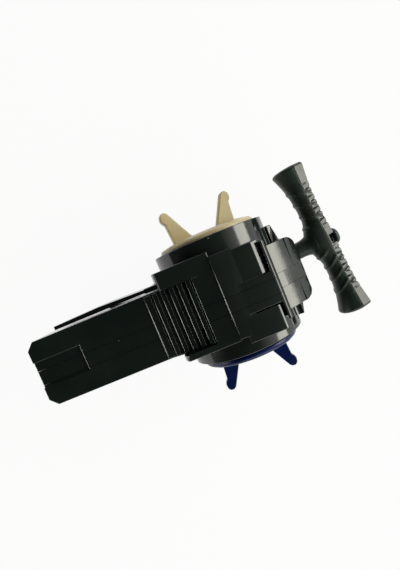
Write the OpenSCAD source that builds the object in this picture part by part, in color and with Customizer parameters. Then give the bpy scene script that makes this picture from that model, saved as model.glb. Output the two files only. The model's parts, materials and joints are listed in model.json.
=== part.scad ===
// Two-way string launcher for spinning tops, lying on its side.
// Shapes are written in the launcher's own frame: x along the pull, y across the grip and z along
// the spin axis, with z = 0 halfway up the middle frame. lay_down() turns that frame into the
// part's frame, where the launcher lies on its side pads at z = 0 and the string is pulled along +X.

/* [Drum] */
// Outer radius of the upper and lower drum rims
drum_r = 25; // [24:0.25:25.5]
// Height of the upper rim above the middle plane
rim_top = 28.1; // [27.6:0.1:31]
// Depth of the lower rim below the middle plane
rim_bottom = 21.3; // [21:0.1:24]
// Wall thickness of the mouldings
wall = 2.2; // [1.8:0.1:2.5]
// Thickness of the middle frame between its two seams
frame_thick = 6.4; // [5:0.2:6.6]
// Depth of the pocket that the upper hub turns in
upper_pocket = 12; // [11.5:0.25:13]
// Depth of the pocket that the lower hub turns in
lower_pocket = 7; // [6.5:0.25:7.5]
// Thickness of the walls that hold the two bearing bushes
bearing_wall = 2; // [1.6:0.1:2.2]

/* [Grip block] */
// Distance from the spin axis to the end of the grip block
block_end = 87; // [80:1:100]
// Half width of the grip block across its sides
block_half = 17.5; // [17:0.5:23]
// Height of the grip block's top face above the middle plane
block_top = 15.7; // [14.8:0.1:16.5]
// Depth of the grip block's bottom face below the middle plane
block_bottom = 12.7; // [12:0.1:14]
// Leg of the chamfers at the end of the block
block_chamfer = 3.2; // [2:0.1:4]
// Length of the guide slots in the block's sides
slot_len = 21; // [16:0.5:26]
// Height of the guide slots
slot_tall = 11.2; // [8:0.2:13]
// Depth of the guide slots
slot_deep = 0.9; // [0.6:0.1:2.2]

/* [Neck ribs] */
// Number of ribs on each side of the neck
rib_count = 6; // [4:1:6]
// Width of each rib
rib_w = 2.1; // [1.4:0.1:2.4]
// Spacing of the ribs
rib_pitch = 3.72; // [3.2:0.02:3.8]
// Depth of the grooves between the ribs
groove_deep = 1.3; // [0.6:0.1:2]
// Distance from the spin axis to the first rib
rib_first = 33.6; // [33:0.1:34.4]

/* [Drum armour] */
// Half width over the side pads, which the launcher lies on
pad_half = 27.3; // [27:0.1:29]
// Width of each side pad
pad_w = 3.7; // [3.2:0.1:5]
// Distance from the spin axis to the end of the flange at the grip side
flange_end = 26.6; // [26:0.1:27.4]
// Half width of that flange
flange_half = 26.4; // [26:0.1:26.8]
// Top of the flange above the middle plane
flange_top = 22.5; // [21.5:0.1:25]
// Bottom of the flange below the middle plane
flange_bottom = 14.8; // [14:0.1:16]
// Half width over the smooth upper armour panel
panel_half = 26.3; // [26:0.1:26.4]
// Step between neighbouring armour panels
panel_step = 0.6; // [0.3:0.05:0.8]

/* [String outlet] */
// Distance from the spin axis to the front of the outlet
outlet_end = 34.1; // [33:0.1:38]
// Half width of the outlet's front face
outlet_half = 5.4; // [5:0.1:7]
// Height of the string above the middle plane
string_z = 7.2; // [6.8:0.1:8]
// Radius of the string
string_r = 0.7; // [0.5:0.05:0.8]
// Outer radius of the eyelet
eyelet_r = 3.2; // [2.4:0.1:3.6]

/* [Hubs] */
// Outer radius of the two launch hubs
hub_r = 21.8; // [20.5:0.1:22]
// Height of the upper hub's face above the middle plane
upper_face = 30.9; // [30.2:0.1:34]
// Depth of the lower hub's face below the middle plane
lower_face = 25.8; // [24:0.1:27]
// Drop of the hub's dome from its flat face to its edge
dome_drop = 2; // [1:0.1:2.4]
// Height of the prongs above the hub's face
prong_tall = 14.2; // [10:0.2:16]
// Thickness of the prongs
prong_thick = 3.4; // [2.6:0.1:4.4]
// Turn of the upper hub's prongs about the spin axis
upper_prong_turn = 18; // [0:1:90]
// Turn of the lower hub's prongs about the spin axis
lower_prong_turn = 0; // [0:1:90]
// Number of ratchet teeth inside each hub
tooth_count = 16; // [12:2:20]

/* [Drive] */
// Radius of the axle
axle_r = 2; // [1.8:0.1:2.2]
// Radius of the axle's end journals, which the hubs run on
journal_r = 1.6; // [1.4:0.05:1.7]
// Outer radius of the bearing bushes
bush_r = 4; // [3.6:0.1:4.4]
// Radius of the string winding
winding_r = 10.75; // [10:0.05:12]
// Radius of the spool's flanges
spool_flange_r = 15.5; // [14:0.5:18]
// Width of the winding space on the spool
spool_w = 7.6; // [6.4:0.2:8]
// Radius of the spool's arbor, which the mainspring hooks on
arbor_r = 4.8; // [4.4:0.1:5]
// Width of the mainspring's strip
mainspring_w = 6.6; // [5:0.2:6.8]
// Thickness of the mainspring's strip
mainspring_thick = 0.4; // [0.2:0.05:0.6]
// Turns of the mainspring
mainspring_turns = 9; // [6:1:11]
// Inner radius of the spring cup
cup_r = 19; // [18:0.1:20]

/* [Release lever] */
// Distance from the spin axis to the lever's free end
lever_tip = 75; // [70:1:80]
// Distance from the spin axis to the lever's pin
lever_pin_x = 32.2; // [32:0.1:34]
// Half width of the lever
lever_half = 12; // [6:0.5:12.5]
// Thickness of the lever at its pin
lever_thick = 1.4; // [1.2:0.1:2]
// Gap between the lever and the block's top face
lever_gap = 0.7; // [0.65:0.05:1.2]
// Radius of the lever's pin
lever_pin_r = 0.6; // [0.5:0.05:0.65]

/* [Pull handle] */
// Length of the pull handle
handle_len = 69.4; // [60:0.2:84]
// Distance from the neck's tip to the handle's middle line
neck_len = 12.1; // [9:0.1:14]
// Radius of the neck at its tip
neck_r = 3.7; // [3.4:0.1:4.2]
// Reach of the handle towards the drum at its waist
waist_in = 3.6; // [3:0.1:4.4]
// Reach of the handle away from the drum at its waist
waist_out = 4.8; // [4.4:0.1:5.6]
// Half depth of the handle at its waist
waist_deep = 6; // [5.6:0.1:7]
// Growth of the handle's reach at its flared ends
flare = 3.9; // [2:0.1:5]
// Height of the slanted finger ridges
ridge_tall = 0.35; // [0:0.05:0.5]
// Spacing of the finger ridges
ridge_pitch = 5.2; // [4:0.1:7]
// Lean of the handle in its seat, in degrees
handle_lean = 5.4; // [0:0.1:6]

/* [Screws and fits] */
// Radius of the case screws' shanks
screw_r = 1.2; // [1:0.05:1.4]
// Radius of the case screws' heads
screw_head_r = 2.3; // [2:0.05:2.5]
// Height of the case screws' heads
screw_head_tall = 1.7; // [1.4:0.1:2]
// Radial clearance of pieces that turn on one another
run_gap = 0.05; // [0.02:0.01:0.1]
// Radial clearance of pieces that are pressed together
press_gap = 0.02; // [0.01:0.01:0.05]
// Clearance between pieces that pass each other
pass_gap = 0.3; // [0.2:0.05:0.4]

/* [Hidden] */
$fn = 72;
over = 1;
case_colour = [0.06, 0.075, 0.07];
handle_colour = [0.05, 0.058, 0.056];
ivory_colour = [0.86, 0.78, 0.58];
blue_colour = [0.05, 0.08, 0.55];
steel_colour = [0.62, 0.63, 0.65];
acetal_colour = [0.8, 0.8, 0.76];
cord_colour = [0.9, 0.9, 0.88];

// Levels along the spin axis
frame_half = frame_thick / 2;
upper_wall_top = rim_top - upper_pocket;
upper_wall_low = upper_wall_top - bearing_wall;
lower_wall_low = -(rim_bottom - lower_pocket);
lower_wall_top = lower_wall_low + bearing_wall;
room_r = drum_r - wall - pass_gap;
pocket_r = drum_r - wall;
slot_mid = (block_top - block_bottom) / 2;

// Armour plates on the pull side of the drum, as [half width, start x, end x, end slope, bottom, top]
pad_left = -3.1;
pad_right = pad_left + pad_w;
pad_top = flange_top - 2;
pad_bottom = -14;
pad_slope_run = 5.4;
pad_slope_drop = pad_half - panel_half;
flange_lap = 0.4;
band_half = 6.4;
armour_top = pad_top - 0.8;
armour_low = -17;
armour_curve = 120;
armour_steps = 6;
plate_end = 15.1;
strip_start = 17.3;
strip_end = 19.1;
armour = [
    [panel_half, pad_right - 1, plate_end, 1.7, band_half, armour_top],
    [panel_half + panel_step, pad_right - 2.4, strip_start + 0.4, 0, -band_half, band_half],
    [panel_half + 1.5 * panel_step, pad_right - 0.6, plate_end, 0.9, armour_low, -band_half - 0.5],
    [panel_half + 0.8 * panel_step, strip_start, strip_end - 0.8, 0.8, pad_bottom, armour_top - 1]
];

// Ribs and the smooth panel between the ribs and the side pad
panel_start = 12.3;
first_rib_more = 0.9;
neck_half = pad_half - 1.3;
rib_proud = 0.6;
pad_step = 0.6;
rib_slope = (neck_half - block_half - rib_proud) / (rib_first - panel_start);

// Outlet box and the shoulders above and below it
outlet_root_x = 20.8;
outlet_root_half = 15;
outlet_bend_x = outlet_end - 4.6;
outlet_bend_half = outlet_half + 4.2;
outlet_round = 4.2;
shoulder_x = 27;
shoulder_half = 10;
shoulder_cut = 3.2;
shoulder_run = 5;
shoulder_flare = 1.6;
shoulder_top = flange_top + 0.6;
shoulder_bottom = flange_bottom + 3.4;

// Room for the string between the spool and the eyelet
passage_half = 8;
passage_low = string_z - 3.3;
passage_top = string_z + 3.3;
outlet_wall = 4.4;
eyelet_bore = string_r + 0.6;
eyelet_x = outlet_end - outlet_wall;

// Hollow of the grip block and the screw posts in it
hollow_half = block_half - slot_deep - wall;
hollow_end = flange_end + 1;
post_r = screw_head_r + 1.2;
post_near = 36.6;
post_far = block_end - 8.6;
post_y = hollow_half - post_r + 0.8;
outlet_screw_x = outlet_root_x + 4.6;
outlet_screw_y = shoulder_half - 1.4;
screw_places = [for (side = [-1, 1]) each [[-post_near, side * post_y], [-post_far, side * post_y],
                                           [outlet_screw_x, side * outlet_screw_y]]];
screw_seat = -(block_bottom - 4.2);
screw_end = frame_half + 7.4;
shank_hole_r = screw_r + 0.25;
head_hole_r = screw_head_r + pass_gap;
pilot_r = screw_r + press_gap;
cross_w = 0.6;
cross_deep = 0.9;

// Release lever, its ears and its leaf spring
lever_low = block_top + lever_gap;
lever_pin_z = lever_low + lever_thick / 2;
knuckle_r = lever_pin_r + 0.4;
ear_gap = lever_half + pass_gap;
ear_w = 2;
ear_reach = lever_pin_r + 0.45;
pin_seat = ear_w * 0.6;
ear_root = flange_end - wall;
catch_end = flange_end - 1.4;
catch_half = 3.4;
catch_thick = lever_thick - 0.4;
window_gap = 0.6;
leaf_w = 5;
leaf_thick = 0.25;
leaf_root = lever_pin_x + 6;
leaf_run = 5;
leaf_reach = 9;
leaf_seat_deep = leaf_thick + 0.05;

// Spool, bushes and spring cup along the spin axis
bush_flange_r = bush_r + 1.2;
bush_flange = 0.8;
spool_flange = 1.2;
spool_low = string_z - spool_w / 2;
spool_high = string_z + spool_w / 2;
spool_top = upper_wall_low - bush_flange - 0.1;
arbor_low = lower_wall_top + bush_flange + 0.1;
cup_floor = 1.2;
cup_wall = 1.5;
cup_hole_r = bush_flange_r + pass_gap;
spring_low = lower_wall_top + cup_floor + 0.2;
cover_low = spring_low + mainspring_w + 0.2;
cover_thick = 1;
spiral_start = arbor_r + 0.3 + mainspring_thick / 2;
spiral_end = cup_r - 0.15 - mainspring_thick / 2;
spiral_steps = 18;

// Pawl carriers, pawls and ratchet teeth, measured up from each bearing wall
carrier_lift = 0.3;
carrier_disc = 1.8;
carrier_tall = 4.8;
carrier_r = 12.6;
carrier_boss_r = 4.8;
pawl_gap = 0.1;
pawl_tall = 2.2;
pawl_pin_r = 1.2;
pawl_orbit = 10.4;
pawl_turns = [0, 180];
pawl_back = 6;
pawl_bite = 0.5;
tooth_root_r = 18.2;
tooth_tip_r = 16.7;
tooth_start = 20;
skirt_r = tooth_root_r + 2.2;
upper_carrier = upper_wall_top + carrier_lift;
lower_carrier = -lower_wall_low + carrier_lift;
key_flat = axle_r * 0.8;

// Hub shells, measured outwards from the middle plane
hub_thick = 2.1;
hub_flat_r = 16.6;
hub_boss_r = 4;
hub_recess_r = 4.3;
hub_recess = 1.1;
hub_lip = 1.4;
hub_screw_r = 3.4;
hub_screw_tall = 0.9;
hub_screw_shank = 0.9;
hub_screw_len = 5;
prong_in = 5.6;
prong_out = 15.9;
prong_hook = 1.2;
prong_sink = 0.6;

// String route and the handle's place on it
path_r = winding_r + string_r + 0.05;
string_bend_x = eyelet_x - 1;
string_leave = acos(path_r / string_bend_x);
bend_lap = string_r / 2;
string_start = [path_r * cos(string_leave), -path_r * sin(string_leave)];
neck_tip_x = outlet_end + 0.5;
knot_x = neck_tip_x + neck_len - 4;
knot_r = 2;
parting = 1.4;
face_share = 0.74;
plug_r = 3.7;
plug_stem_r = 2;
plug_reach = 3.2;
plug_stem = 0.4;
plug_web = 0.9;
plug_drop = 1.3;
neck_bore = string_r + 1.15;
knot_room_r = knot_r + 1.5;
knot_room_low = -6.6;
neck_root_r = neck_r + 1.5;
neck_root = -5;
flare_start = 14;
bulge_half = 12;
bulge = 3.4;
handle_half = handle_len / 2;
handle_steps = 44;
handle_sides = 12;
end_steps = [[1.9, 1], [0.7, 0.88], [0, 0.6]];
end_round = end_steps[0][0];
end_middle = 1.4;
ridge_slant = 3.2;
ridge_from = 9;
ridge_to = 29;

// Turns the launcher's own frame into the part's frame
module lay_down() {
    translate([0, 0, pad_half]) rotate([-90, 0, 0]) children();
}

// Extrudes a plan outline over the part of bottom to top that lies inside a span
module slice(bottom, top, span) {
    low = max(bottom, span[0]);
    high = min(top, span[1]);
    if (high > low) translate([0, 0, low]) linear_extrude(high - low) children();
}

// Extrudes a side outline, drawn in x and z, across the launcher
module across(half) {
    rotate([90, 0, 0]) translate([0, 0, -half]) linear_extrude(2 * half) children();
}

// Closes one side of a plan outline with its mirror image
function both_sides(side) = concat(side, [for (i = [len(side) - 1:-1:0]) [side[i][0], -side[i][1]]]);

// Half width over the rib faces at a place along the neck
function rib_face(x) = block_half + rib_proud + (x + rib_first) * rib_slope;

module block_plan() {
    translate([-block_end, -block_half]) square([block_end - rib_first + rib_w, 2 * block_half]);
}

module neck_plan() {
    polygon(both_sides([[-rib_first, rib_face(-rib_first) - groove_deep],
                        [-panel_start, neck_half - groove_deep], [0, neck_half - groove_deep]]));
}

module rib_plan(i) {
    x = -rib_first + i * rib_pitch;
    w = rib_w + (i == 0 ? first_rib_more : 0);
    polygon(both_sides([[x, rib_face(x)], [x + w, rib_face(x + w)]]));
}

module cheek_plan() {
    polygon(both_sides([[-panel_start, neck_half], [pad_left, pad_half - pad_step],
                        [0, pad_half - pad_step]]));
}

module pad_plan() {
    polygon(both_sides([[pad_left, pad_half], [pad_right, pad_half],
                        [pad_right + pad_slope_run, pad_half - pad_slope_drop]]));
}

module flange_plan() {
    polygon(both_sides([[-flange_end, flange_half - 3.9], [1 - flange_end, flange_half - 1],
                        [2 - flange_end, flange_half], [pad_left, flange_half]]));
}

// Half width of a gently crowned plate at a place along it
function plate_face(half, x) = half - armour_curve + sqrt(pow(armour_curve, 2) - x * x);

module armour_plan(half, start, end, slope) {
    face = [for (i = [0:armour_steps]) let(x = start + (end - start) * i / armour_steps)
        [x, plate_face(half, x)]];
    edge = slope > 0 ? [[end + slope, plate_face(half, end) - slope * 0.85]] : [];
    polygon(both_sides(concat(face, edge)));
}

module outlet_plan() {
    polygon(both_sides([[0, outlet_root_half], [outlet_root_x, outlet_root_half],
                        [outlet_bend_x, outlet_bend_half], [outlet_end, outlet_half]]));
}

module shoulder_plan() {
    polygon(both_sides([[0, shoulder_half], [shoulder_x - shoulder_run, shoulder_half],
                        [shoulder_x + shoulder_flare, shoulder_half - shoulder_cut - shoulder_flare]]));
}

// Outside of the case over one span of heights, before anything is cut out of it
module case_form(span) {
    slice(-rim_bottom, rim_top, span) circle(drum_r);
    slice(-block_bottom, block_top, span) block_plan();
    slice(-block_bottom, block_top, span) neck_plan();
    for (i = [0:rib_count - 1]) slice(-block_bottom + rib_proud, block_top - rib_proud, span) rib_plan(i);
    slice(-block_bottom, block_top, span) cheek_plan();
    slice(pad_bottom, pad_top, span) pad_plan();
    slice(block_top - flange_lap, flange_top, span) flange_plan();
    slice(-flange_bottom, flange_lap - block_bottom, span) flange_plan();
    for (a = armour) slice(a[4], a[5], span) armour_plan(a[0], a[1], a[2], a[3]);
    slice(-block_bottom, block_top, span) outlet_plan();
    intersection() {
        slice(-shoulder_bottom, shoulder_top, span) shoulder_plan();
        across(shoulder_half) polygon([
            [0, -shoulder_bottom], [shoulder_x, -shoulder_bottom], [shoulder_x + shoulder_flare, -block_bottom],
            [shoulder_x + shoulder_flare, block_top], [shoulder_x, shoulder_top], [0, shoulder_top]]);
    }
}

// Wedge that chamfers an end edge, drawn at the origin for an edge at the left and the top
module edge_wedge(leg) {
    polygon([[-over, -leg - over], [leg + over, over], [-over, over]]);
}

// Corner that a rounding takes off, drawn from the rounding's centre
module round_off(r) {
    difference() {
        square(r + over);
        circle(r);
    }
}

module case_edges() {
    reach = pad_half + over;
    across(reach) translate([-block_end, block_top]) edge_wedge(block_chamfer);
    across(reach) translate([-block_end, -block_bottom]) mirror([0, 1]) edge_wedge(block_chamfer);
    across(outlet_root_half) translate([outlet_end - outlet_round, block_top - outlet_round])
        round_off(outlet_round);
    across(outlet_root_half) translate([outlet_end - outlet_round, outlet_round - block_bottom])
        mirror([0, 1]) round_off(outlet_round);
}

module guide_slots() {
    for (side = [-1, 1])
        translate([-block_end - over, side * (block_half - slot_deep / 2 + over / 2), slot_mid])
            translate([0, -(slot_deep + over) / 2, -slot_tall / 2])
                cube([slot_len + over, slot_deep + over, slot_tall]);
}

// Hollow of the grip block between two heights, leaving its screw posts standing
module grip_hollow(low, high) {
    translate([0, 0, low]) linear_extrude(high - low) difference() {
        translate([-(block_end - wall), -hollow_half])
            square([block_end - wall - hollow_end, 2 * hollow_half]);
        for (p = screw_places) translate(p) circle(post_r);
    }
}

module upright(r, low, high) {
    translate([0, 0, low]) cylinder(r = r, h = high - low);
}

module screw_holes(r, low, high) {
    for (p = screw_places) translate([p[0], p[1], 0]) upright(r, low, high);
}

// Two arms that reach out from the flange and hold the lever's pin
module lever_ears() {
    for (side = [-1, 1])
        translate([0, side * (ear_gap + ear_w / 2), 0]) across(ear_w / 2) {
            translate([-lever_pin_x, lever_pin_z]) circle(ear_reach);
            translate([-lever_pin_x, lever_pin_z - ear_reach]) square([lever_pin_x - ear_root, 2 * ear_reach]);
        }
}

module upper_shell() {
    color(case_colour) lay_down() difference() {
        union() {
            case_form([frame_half, rim_top]);
            lever_ears();
        }
        case_edges();
        guide_slots();
        upright(pocket_r, upper_wall_top, rim_top + over);
        upright(room_r, frame_half - over, upper_wall_low);
        upright(bush_r + press_gap, upper_wall_low - over, upper_wall_top + over);
        grip_hollow(frame_half - over, block_top - wall);
        screw_holes(pilot_r, frame_half - over, screw_end + over);
        translate([0, -passage_half, passage_low])
            cube([eyelet_x, 2 * passage_half, passage_top - passage_low]);
        translate([0, 0, string_z]) rotate([0, 90, 0])
            cylinder(r = eyelet_r + press_gap, h = outlet_end + over);
        translate([-lever_pin_x, 0, lever_pin_z]) rotate([90, 0, 0])
            cylinder(r = lever_pin_r + press_gap, h = 2 * (ear_gap + pin_seat), center = true);
        translate([-flange_end - over, -catch_half - window_gap, lever_pin_z - catch_thick / 2 - window_gap])
            cube([flange_end + over - catch_end + window_gap, 2 * (catch_half + window_gap),
                  catch_thick + 2 * window_gap]);
        translate([-leaf_root - leaf_run - leaf_reach, -leaf_w / 2 - press_gap, block_top - leaf_seat_deep])
            cube([leaf_run + leaf_reach, leaf_w + 2 * press_gap, over]);
    }
}

module middle_frame() {
    color(case_colour) lay_down() difference() {
        case_form([-frame_half, frame_half]);
        case_edges();
        guide_slots();
        upright(room_r, -frame_half - over, frame_half + over);
        grip_hollow(-frame_half - over, frame_half + over);
        screw_holes(shank_hole_r, -frame_half - over, frame_half + over);
    }
}

module lower_shell() {
    color(case_colour) lay_down() difference() {
        case_form([-rim_bottom, -frame_half]);
        case_edges();
        guide_slots();
        upright(pocket_r, -rim_bottom - over, lower_wall_low);
        upright(room_r, lower_wall_top, -frame_half + over);
        upright(bush_r + press_gap, lower_wall_low - over, lower_wall_top + over);
        grip_hollow(-(block_bottom - wall), -frame_half + over);
        screw_holes(shank_hole_r, -block_bottom, -frame_half + over);
        screw_holes(head_hole_r, -shoulder_bottom - over, screw_seat);
    }
}

module case_screws() {
    color(steel_colour) lay_down() for (p = screw_places) translate([p[0], p[1], 0]) difference() {
        union() {
            upright(screw_head_r, screw_seat - screw_head_tall, screw_seat);
            upright(screw_r, screw_seat - screw_head_tall, screw_end);
        }
        for (turn = [0, 90]) rotate(turn)
            translate([-screw_head_r * 0.6, -cross_w / 2, screw_seat - screw_head_tall - over])
                cube([screw_head_r * 1.2, cross_w, cross_deep + over]);
    }
}

module string_eyelet() {
    color(acetal_colour) lay_down() translate([eyelet_x, 0, string_z]) rotate([0, 90, 0]) difference() {
        cylinder(r = eyelet_r, h = outlet_wall);
        translate([0, 0, -over]) cylinder(r = eyelet_bore, h = outlet_wall + 2 * over);
    }
}

module release_lever() {
    color(case_colour) lay_down() difference() {
        union() {
            across(lever_half) polygon([
                [-lever_tip, lever_low], [-lever_pin_x, lever_low],
                [-lever_pin_x, lever_low + lever_thick],
                [-lever_tip * 0.72, lever_low + lever_thick * 1.5],
                [-lever_tip, lever_low + lever_thick * 1.1]]);
            across(lever_half) translate([-lever_pin_x, lever_pin_z]) circle(knuckle_r);
            translate([-lever_pin_x, -catch_half, lever_pin_z - catch_thick / 2])
                cube([lever_pin_x - catch_end, 2 * catch_half, catch_thick]);
        }
        translate([-lever_pin_x, 0, lever_pin_z]) rotate([90, 0, 0])
            cylinder(r = lever_pin_r + run_gap, h = 4 * lever_half, center = true);
    }
}

module lever_pin() {
    color(steel_colour) lay_down() translate([-lever_pin_x, 0, lever_pin_z]) rotate([90, 0, 0])
        cylinder(r = lever_pin_r, h = 2 * (ear_gap + pin_seat), center = true);
}

// Flat strip that lies in a seat on the block and rises under the lever
module lever_spring() {
    seat = block_top - leaf_seat_deep;
    rise = lever_low - pass_gap - leaf_thick;
    color(steel_colour) lay_down() across(leaf_w / 2) polygon([
        [-leaf_root, seat], [-leaf_root, seat + leaf_thick],
        [-leaf_root - leaf_run, seat + leaf_thick],
        [-leaf_root - leaf_run - leaf_reach, rise + leaf_thick],
        [-leaf_root - leaf_run - leaf_reach, rise], [-leaf_root - leaf_run, seat]]);
}

module spring_cup() {
    color(acetal_colour) lay_down() difference() {
        upright(cup_r + cup_wall, lower_wall_top, cover_low);
        upright(cup_r, lower_wall_top + cup_floor, cover_low + over);
        upright(cup_hole_r, lower_wall_top - over, cover_low);
    }
}

// Spiral strip from the arbor to the cup's wall
function spiral_r(turn) = spiral_start + (spiral_end - spiral_start) * turn / mainspring_turns;
function spiral_edge(offset, steps) = [for (i = [0:steps])
    let(turn = i / spiral_steps, r = spiral_r(turn) + offset) [r * cos(360 * turn), r * sin(360 * turn)]];

module mainspring() {
    steps = mainspring_turns * spiral_steps;
    outer = spiral_edge(mainspring_thick / 2, steps);
    inner = spiral_edge(-mainspring_thick / 2, steps);
    color(steel_colour) lay_down() translate([0, 0, spring_low]) linear_extrude(mainspring_w)
        polygon(concat(outer, [for (i = [steps:-1:0]) inner[i]]));
}

module spring_cover() {
    color(acetal_colour) lay_down() difference() {
        upright(cup_r + cup_wall, cover_low, cover_low + cover_thick);
        upright(arbor_r + pass_gap, cover_low - over, cover_low + cover_thick + over);
    }
}

module bush(flange_low, flange_high, low, high) {
    difference() {
        union() {
            upright(bush_flange_r, flange_low, flange_high);
            upright(bush_r, low, high);
        }
        upright(axle_r + run_gap, low - over, high + over);
    }
}

module upper_bush() {
    low = upper_wall_low - bush_flange;
    color("goldenrod") lay_down() bush(low, upper_wall_low, low, upper_wall_top);
}

module lower_bush() {
    high = lower_wall_top + bush_flange;
    color("goldenrod") lay_down() bush(lower_wall_top, high, lower_wall_low, high);
}

// Round bar with two flats, which keys a carrier to the axle
module keyed_bar(grow, low, high) {
    intersection() {
        upright(axle_r + grow, low, high);
        translate([-axle_r - over, -key_flat - grow, low])
            cube([2 * (axle_r + over), 2 * (key_flat + grow), high - low]);
    }
}

module axle() {
    upper_key = upper_carrier + carrier_tall;
    lower_key = lower_carrier + carrier_tall;
    upper_tip = upper_face - hub_recess - 0.1;
    lower_tip = lower_face - hub_recess - 0.1;
    color(steel_colour) lay_down() difference() {
        union() {
            upright(axle_r, -lower_carrier, upper_carrier);
            keyed_bar(0, upper_carrier - over, upper_key);
            keyed_bar(0, -lower_key, -lower_carrier + over);
            upright(journal_r, upper_key - over, upper_tip);
            upright(journal_r, -lower_tip, -lower_key + over);
        }
        upright(hub_screw_shank + press_gap, upper_tip - hub_screw_len, upper_tip + over);
        upright(hub_screw_shank + press_gap, -lower_tip - over, -lower_tip + hub_screw_len);
    }
}

module spool() {
    color(acetal_colour) lay_down() difference() {
        union() {
            upright(arbor_r, arbor_low, spool_top);
            upright(winding_r - 2 * string_r, spool_low, spool_high);
            upright(spool_flange_r, spool_low - spool_flange, spool_low);
            upright(spool_flange_r, spool_high, spool_high + spool_flange);
        }
        upright(axle_r + press_gap, arbor_low - over, spool_top + over);
    }
}

module string_winding() {
    color(cord_colour) lay_down() difference() {
        upright(winding_r, spool_low + press_gap, spool_high - press_gap);
        upright(winding_r - 2 * string_r + press_gap, spool_low, spool_high);
    }
}

// Disc keyed to the axle, with a boss and two pins for its pawls, standing on z = 0
module pawl_carrier() {
    difference() {
        union() {
            upright(carrier_r, 0, carrier_disc);
            upright(carrier_boss_r, 0, carrier_tall);
            for (turn = pawl_turns) rotate(turn) translate([pawl_orbit, 0, 0])
                upright(pawl_pin_r, 0, carrier_disc + pawl_gap + pawl_tall);
        }
        keyed_bar(press_gap, -over, carrier_tall + over);
    }
}

// Pawl that points forwards and outwards from its pin into a tooth, standing on z = 0
module pawl(turn) {
    lead = [cos(tooth_start - pawl_back), sin(tooth_start - pawl_back)];
    tip = lead * (tooth_tip_r + pawl_bite);
    heel = lead * (tooth_tip_r - pawl_bite);
    arm = pawl_pin_r + 0.9;
    rotate(turn) translate([0, 0, carrier_disc + pawl_gap]) linear_extrude(pawl_tall) difference() {
        union() {
            translate([pawl_orbit, 0]) circle(arm);
            polygon([[pawl_orbit + arm * 0.75, -arm * 0.6], tip, heel,
                     [pawl_orbit - arm * 0.6, arm * 0.75]]);
        }
        translate([pawl_orbit, 0]) circle(pawl_pin_r + run_gap);
    }
}

module upper_drive() {
    lay_down() translate([0, 0, upper_carrier]) children();
}

module lower_drive() {
    lay_down() mirror([0, 0, 1]) translate([0, 0, lower_carrier]) children();
}

module upper_pawl_carrier() { color(acetal_colour) upper_drive() pawl_carrier(); }
module lower_pawl_carrier() { color(acetal_colour) lower_drive() pawl_carrier(); }
module upper_pawl_a() { color(acetal_colour) upper_drive() pawl(pawl_turns[0]); }
module upper_pawl_b() { color(acetal_colour) upper_drive() pawl(pawl_turns[1]); }
module lower_pawl_a() { color(acetal_colour) lower_drive() pawl(pawl_turns[0]); }
module lower_pawl_b() { color(acetal_colour) lower_drive() pawl(pawl_turns[1]); }

// Saw-tooth opening: each tooth has a steep face at its start and a long ramp behind it
module ratchet_plan() {
    step = 360 / tooth_count;
    polygon([for (i = [0:tooth_count - 1]) let(a = tooth_start + i * step)
        each [[tooth_tip_r * cos(a), tooth_tip_r * sin(a)],
              [tooth_tip_r * cos(a + step * 0.25), tooth_tip_r * sin(a + step * 0.25)],
              [tooth_root_r * cos(a + step), tooth_root_r * sin(a + step)]]]);
}

// Tapered prong with a hook at its tip, drawn in x and z from the hub's face
module prong_plan() {
    t = prong_tall;
    polygon([[prong_in, -prong_sink], [prong_out - 0.9, -prong_sink], [prong_out - 0.3, t * 0.5],
             [prong_out - 0.1, t * 0.64], [prong_out + prong_hook - 0.3, t * 0.71],
             [prong_out + prong_hook, t * 0.78], [prong_out + prong_hook - 0.2, t * 0.92],
             [prong_out - 0.1, t], [prong_out - 1.7, t], [prong_out - 2.8, t * 0.93]]);
}

// Domed hub with a toothed skirt, a boss that runs on the axle and two prongs
module launch_hub(face, carrier, prong_turn) {
    under = face - dome_drop - hub_thick;
    skirt_end = carrier + carrier_disc + pawl_gap;
    boss_end = carrier + carrier_tall + 0.2;
    edge = face - dome_drop;
    difference() {
        union() {
            rotate_extrude() polygon([
                [0, boss_end], [hub_boss_r, boss_end], [hub_boss_r, under], [tooth_root_r, under],
                [tooth_root_r, skirt_end], [skirt_r, skirt_end], [skirt_r, edge - hub_lip],
                [hub_r, edge - hub_lip], [hub_r, edge], [hub_r - 0.7, edge + dome_drop * 0.5],
                [hub_flat_r, face], [0, face]]);
            translate([0, 0, skirt_end]) linear_extrude(under - skirt_end) difference() {
                circle(tooth_root_r + over);
                ratchet_plan();
            }
            for (turn = [0, 180]) rotate(prong_turn + turn)
                translate([0, 0, face]) across(prong_thick / 2) prong_plan();
        }
        upright(journal_r + run_gap, boss_end - over, face + over);
        upright(hub_recess_r, face - hub_recess, face + over);
    }
}

module upper_hub() {
    color(ivory_colour) lay_down() launch_hub(upper_face, upper_carrier, upper_prong_turn);
}

module lower_hub() {
    color(blue_colour) lay_down() mirror([0, 0, 1]) launch_hub(lower_face, lower_carrier, lower_prong_turn);
}

// Wide-headed screw that holds a hub on the axle's end
module hub_screw(face) {
    seat = face - hub_recess - 0.1;
    difference() {
        union() {
            upright(hub_screw_r, seat, seat + hub_screw_tall);
            upright(hub_screw_shank, seat - hub_screw_len + over, seat + hub_screw_tall);
        }
        for (turn = [0, 90]) rotate(turn)
            translate([-hub_screw_r * 0.5, -cross_w / 2, seat + hub_screw_tall / 2])
                cube([hub_screw_r, cross_w, over]);
    }
}

module upper_hub_screw() { color(steel_colour) lay_down() hub_screw(upper_face + 0.1); }
module lower_hub_screw() { color(steel_colour) lay_down() mirror([0, 0, 1]) hub_screw(lower_face + 0.1); }

// Round bar between two points of the plan at the string's height, lengthened at either end
module string_run(from, to, before, after) {
    run = to - from;
    translate([from[0], from[1], string_z]) rotate([0, 90, atan2(run[1], run[0])])
        translate([0, 0, -before]) cylinder(r = string_r, h = before + norm(run) + after);
}

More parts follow.
